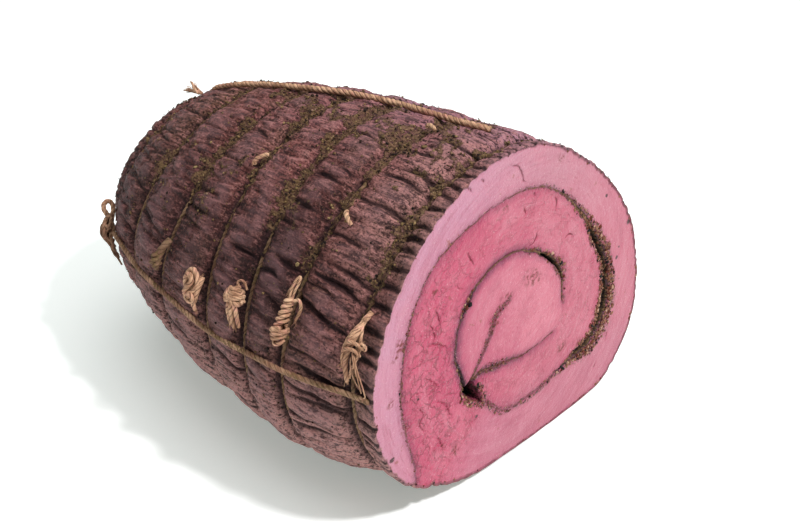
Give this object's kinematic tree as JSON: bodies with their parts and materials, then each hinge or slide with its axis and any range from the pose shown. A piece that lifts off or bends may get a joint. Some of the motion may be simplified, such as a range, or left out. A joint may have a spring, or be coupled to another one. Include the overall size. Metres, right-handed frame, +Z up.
{
  "type": "rolled roast beef joint",
  "caption": "Rolled and tied joint of roast beef with layers of herbs between its turns, cut square at one end to show the pink swirl, rounded and crusted at the other.",
  "frame": {"origin": "middle of the whole box's underside, on the surface the joint rests on", "axes": "+X along the roll, out of the cut face; +Z up; +Y to the side away from the knots"},
  "size_m": [0.184, 0.1586, 0.1265],
  "materials": {
    "meat": "dark brown creased crust outside, moist pink meat on the cut face",
    "herbs": "dull chopped herbs, olive brown",
    "string": "roasted cotton string, tan, slightly frayed"
  },
  "bodies": {
    "root": {"meat": "meat", "herb_layer_outer_turn": "herbs", "herb_layer_over_core": "herbs", "herb_layer_under_core": "herbs", "herb_layer_core_fold": "herbs", "string_loop_1": "string", "string_loop_2": "string", "string_loop_3": "string", "string_loop_4": "string", "string_loop_5": "string", "string_loop_6": "string", "string_loop_7": "string", "string_along_top": "string", "string_along_side": "string", "string_eye_far_end": "string", "knot_loop_1": "string", "knot_loop_2": "string", "knot_loop_3": "string", "knot_loop_4": "string", "knot_loop_5": "string", "knot_far_end": "string", "tuft_far_end_top": "string", "scrap_upper": "string", "scrap_middle": "string", "scrap_top": "string"}
  },
  "joints": []
}
